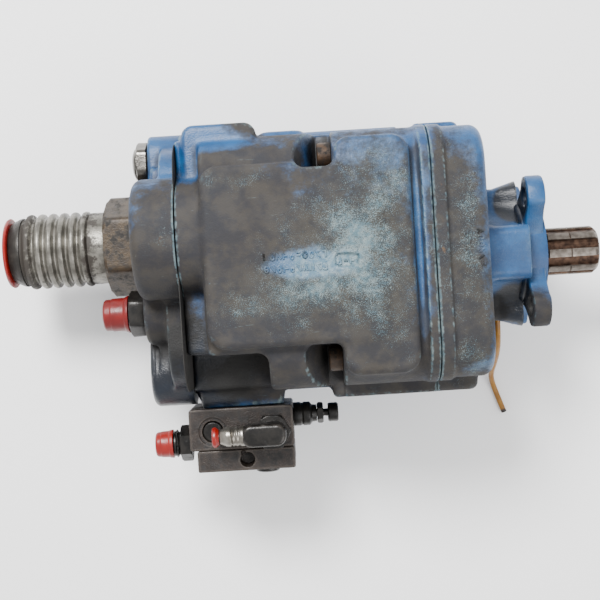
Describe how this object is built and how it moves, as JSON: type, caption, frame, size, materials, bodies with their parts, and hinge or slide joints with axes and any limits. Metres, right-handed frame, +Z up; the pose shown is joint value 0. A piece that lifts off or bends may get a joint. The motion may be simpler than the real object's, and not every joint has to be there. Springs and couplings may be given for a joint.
{
  "type": "axial piston pump",
  "caption": "Variable-displacement axial piston pump in painted castings, with a splined shaft, square flange, control block and capped ports.",
  "frame": {"origin": "on the surface it lies on, under the middle of its box, the tie wire left out", "axes": "+X along the drive shaft and out of the mounting flange, +Z up, away from the flat underside"},
  "size_m": [0.448, 0.2592, 0.194],
  "materials": {
    "paint": "worn blue enamel over cast iron, oily and scratched",
    "gasket": "dark joint sheet",
    "black_steel": "blackened steel with a film of oil",
    "oily_iron": "dark oily cast iron",
    "spline_steel": "ground steel stained brown",
    "plug_steel": "dull bare steel",
    "steel": "ground and oiled",
    "bronze": "machined bronze",
    "rubber": "black nitrile",
    "cast_alloy": "pale, stained and scuffed",
    "red_plastic": "soft moulded",
    "yellow_plastic": "smooth with dirty patches"
  },
  "bodies": {
    "housing": {"main_housing": "paint", "front_cover": "paint", "rear_housing": "paint", "front_gasket": "gasket", "rear_gasket": "gasket", "cover_bolt_1": "black_steel", "cover_bolt_2": "black_steel", "cover_bolt_3": "black_steel", "cover_bolt_4": "black_steel", "cradle_bearing_near": "bronze", "cradle_bearing_far": "bronze", "valve_plate": "bronze", "front_bearing": "steel", "rear_bearing": "steel", "shaft_seal": "rubber", "bias_spring": "steel", "bias_plug": "plug_steel", "control_block": "oily_iron", "compensator_spring": "steel", "adjuster_body": "black_steel", "adjuster_lock_nut": "black_steel", "socket_plug": "black_steel", "bottom_plug": "black_steel", "elbow_fitting": "black_steel", "control_adapter": "black_steel", "hose_tail": "cast_alloy", "pressure_adapter": "black_steel", "tie_wire": "yellow_plastic"},
    "shaft": {"drive_shaft": "spline_steel", "cylinder_block": "steel", "ball_guide": "steel", "block_spring": "steel"},
    "swashplate": {"swashplate": "steel"},
    "retainer": {"slipper_retainer": "steel"},
    "slipper_1": {"slipper_1": "bronze"},
    "piston_1": {"piston_1": "steel"},
    "slipper_2": {"slipper_2": "bronze"},
    "piston_2": {"piston_2": "steel"},
    "slipper_3": {"slipper_3": "bronze"},
    "piston_3": {"piston_3": "steel"},
    "slipper_4": {"slipper_4": "bronze"},
    "piston_4": {"piston_4": "steel"},
    "slipper_5": {"slipper_5": "bronze"},
    "piston_5": {"piston_5": "steel"},
    "slipper_6": {"slipper_6": "bronze"},
    "piston_6": {"piston_6": "steel"},
    "slipper_7": {"slipper_7": "bronze"},
    "piston_7": {"piston_7": "steel"},
    "slipper_8": {"slipper_8": "bronze"},
    "piston_8": {"piston_8": "steel"},
    "slipper_9": {"slipper_9": "bronze"},
    "piston_9": {"piston_9": "steel"},
    "control_piston": {"control_piston": "steel"},
    "bias_piston": {"bias_piston": "steel"},
    "compensator_spool": {"compensator_spool": "steel"},
    "adjuster_screw": {"adjuster_screw": "black_steel"},
    "pressure_cap": {"pressure_cap": "red_plastic"},
    "control_adapter_cap": {"control_adapter_cap": "red_plastic"},
    "elbow_cap": {"elbow_cap": "red_plastic"},
    "hose_tail_plug": {"hose_tail_plug": "red_plastic"}
  },
  "joints": [
    {"name": "shaft_spin", "type": "hinge", "parent": "housing", "child": "shaft", "pos_m": [0.177, 0.0244, 0.097], "axis": [1, 0, 0], "continuous": true},
    {"name": "swash_tilt", "type": "hinge", "parent": "housing", "child": "swashplate", "pos_m": [0.027, 0.0244, 0.097], "axis": [0, 0, 1], "range_deg": [0, 16], "stiffness_Nm_per_rad": 8, "springref_deg": -5.73},
    {"name": "retainer_spin", "type": "hinge", "parent": "swashplate", "child": "retainer", "pos_m": [0.027, 0.0244, 0.097], "axis": [0.9613, -0.2756, 0], "continuous": true},
    {"name": "slipper_1_swivel", "type": "hinge", "parent": "retainer", "child": "slipper_1", "pos_m": [0.027, 0.0244, 0.1337], "axis": [0.9613, -0.2756, 0], "continuous": true},
    {"name": "piston_1_rock", "type": "hinge", "parent": "slipper_1", "child": "piston_1", "pos_m": [0.027, 0.0244, 0.1337], "axis": [0, 0, 1], "range_deg": [-16, 0]},
    {"name": "slipper_2_swivel", "type": "hinge", "parent": "retainer", "child": "slipper_2", "pos_m": [0.0335, 0.04708, 0.12511], "axis": [0.9613, -0.2756, 0], "continuous": true},
    {"name": "piston_2_rock", "type": "hinge", "parent": "slipper_2", "child": "piston_2", "pos_m": [0.0335, 0.04708, 0.12511], "axis": [0, 0, 1], "range_deg": [-16, 0]},
    {"name": "slipper_3_swivel", "type": "hinge", "parent": "retainer", "child": "slipper_3", "pos_m": [0.03696, 0.05914, 0.10337], "axis": [0.9613, -0.2756, 0], "continuous": true},
    {"name": "piston_3_rock", "type": "hinge", "parent": "slipper_3", "child": "piston_3", "pos_m": [0.03696, 0.05914, 0.10337], "axis": [0, 0, 1], "range_deg": [-16, 0]},
    {"name": "slipper_4_swivel", "type": "hinge", "parent": "retainer", "child": "slipper_4", "pos_m": [0.03576, 0.05495, 0.07865], "axis": [0.9613, -0.2756, 0], "continuous": true},
    {"name": "piston_4_rock", "type": "hinge", "parent": "slipper_4", "child": "piston_4", "pos_m": [0.03576, 0.05495, 0.07865], "axis": [0, 0, 1], "range_deg": [-16, 0]},
    {"name": "slipper_5_swivel", "type": "hinge", "parent": "retainer", "child": "slipper_5", "pos_m": [0.03046, 0.03647, 0.06251], "axis": [0.9613, -0.2756, 0], "continuous": true},
    {"name": "piston_5_rock", "type": "hinge", "parent": "slipper_5", "child": "piston_5", "pos_m": [0.03046, 0.03647, 0.06251], "axis": [0, 0, 1], "range_deg": [-16, 0]},
    {"name": "slipper_6_swivel", "type": "hinge", "parent": "retainer", "child": "slipper_6", "pos_m": [0.02354, 0.01234, 0.06251], "axis": [0.9613, -0.2756, 0], "continuous": true},
    {"name": "piston_6_rock", "type": "hinge", "parent": "slipper_6", "child": "piston_6", "pos_m": [0.02354, 0.01234, 0.06251], "axis": [0, 0, 1], "range_deg": [-16, 0]},
    {"name": "slipper_7_swivel", "type": "hinge", "parent": "retainer", "child": "slipper_7", "pos_m": [0.01824, -0.00615, 0.07865], "axis": [0.9613, -0.2756, 0], "continuous": true},
    {"name": "piston_7_rock", "type": "hinge", "parent": "slipper_7", "child": "piston_7", "pos_m": [0.01824, -0.00615, 0.07865], "axis": [0, 0, 1], "range_deg": [-16, 0]},
    {"name": "slipper_8_swivel", "type": "hinge", "parent": "retainer", "child": "slipper_8", "pos_m": [0.01704, -0.01034, 0.10337], "axis": [0.9613, -0.2756, 0], "continuous": true},
    {"name": "piston_8_rock", "type": "hinge", "parent": "slipper_8", "child": "piston_8", "pos_m": [0.01704, -0.01034, 0.10337], "axis": [0, 0, 1], "range_deg": [-16, 0]},
    {"name": "slipper_9_swivel", "type": "hinge", "parent": "retainer", "child": "slipper_9", "pos_m": [0.0205, 0.00172, 0.12511], "axis": [0.9613, -0.2756, 0], "continuous": true},
    {"name": "piston_9_rock", "type": "hinge", "parent": "slipper_9", "child": "piston_9", "pos_m": [0.0205, 0.00172, 0.12511], "axis": [0, 0, 1], "range_deg": [-16, 0]},
    {"name": "control_piston_slide", "type": "slide", "parent": "housing", "child": "control_piston", "axis": [1, 0, 0], "range_m": [0, 0.021]},
    {"name": "bias_piston_slide", "type": "slide", "parent": "housing", "child": "bias_piston", "axis": [1, 0, 0], "range_m": [-0.0237, 0], "deforming": ["bias_spring"]},
    {"name": "spool_slide", "type": "slide", "parent": "housing", "child": "compensator_spool", "axis": [1, 0, 0], "range_m": [0, 0.004], "stiffness_N_per_m": 600, "springref_m": -0.002, "deforming": ["compensator_spring"]},
    {"name": "adjuster_turn", "type": "hinge", "parent": "housing", "child": "adjuster_screw", "pos_m": [0.007, -0.0876, 0.097], "axis": [1, 0, 0], "range_deg": [0, 1080]},
    {"name": "pressure_cap_pull", "type": "slide", "parent": "housing", "child": "pressure_cap", "axis": [-1, 0, 0], "range_m": [0, 0.03]},
    {"name": "control_cap_pull", "type": "slide", "parent": "housing", "child": "control_adapter_cap", "axis": [-1, 0, 0], "range_m": [0, 0.02]},
    {"name": "elbow_cap_pull", "type": "slide", "parent": "housing", "child": "elbow_cap", "axis": [-1, 0, 0], "range_m": [0, 0.02]},
    {"name": "hose_plug_pull", "type": "slide", "parent": "housing", "child": "hose_tail_plug", "axis": [-1, 0, 0], "range_m": [0, 0.035]}
  ],
  "couplings": [
    {"joint": "retainer_spin", "follows": "shaft_spin", "ratio": 1},
    {"joint": "slipper_1_swivel", "follows": "shaft_spin", "ratio": -1},
    {"joint": "piston_1_rock", "follows": "swash_tilt", "ratio": -1},
    {"joint": "slipper_2_swivel", "follows": "shaft_spin", "ratio": -1},
    {"joint": "piston_2_rock", "follows": "swash_tilt", "ratio": -1},
    {"joint": "slipper_3_swivel", "follows": "shaft_spin", "ratio": -1},
    {"joint": "piston_3_rock", "follows": "swash_tilt", "ratio": -1},
    {"joint": "slipper_4_swivel", "follows": "shaft_spin", "ratio": -1},
    {"joint": "piston_4_rock", "follows": "swash_tilt", "ratio": -1},
    {"joint": "slipper_5_swivel", "follows": "shaft_spin", "ratio": -1},
    {"joint": "piston_5_rock", "follows": "swash_tilt", "ratio": -1},
    {"joint": "slipper_6_swivel", "follows": "shaft_spin", "ratio": -1},
    {"joint": "piston_6_rock", "follows": "swash_tilt", "ratio": -1},
    {"joint": "slipper_7_swivel", "follows": "shaft_spin", "ratio": -1},
    {"joint": "piston_7_rock", "follows": "swash_tilt", "ratio": -1},
    {"joint": "slipper_8_swivel", "follows": "shaft_spin", "ratio": -1},
    {"joint": "piston_8_rock", "follows": "swash_tilt", "ratio": -1},
    {"joint": "slipper_9_swivel", "follows": "shaft_spin", "ratio": -1},
    {"joint": "piston_9_rock", "follows": "swash_tilt", "ratio": -1},
    {"joint": "control_piston_slide", "follows": "swash_tilt", "m_per_rad": 0.075016},
    {"joint": "bias_piston_slide", "follows": "swash_tilt", "m_per_rad": -0.084393}
  ]
}
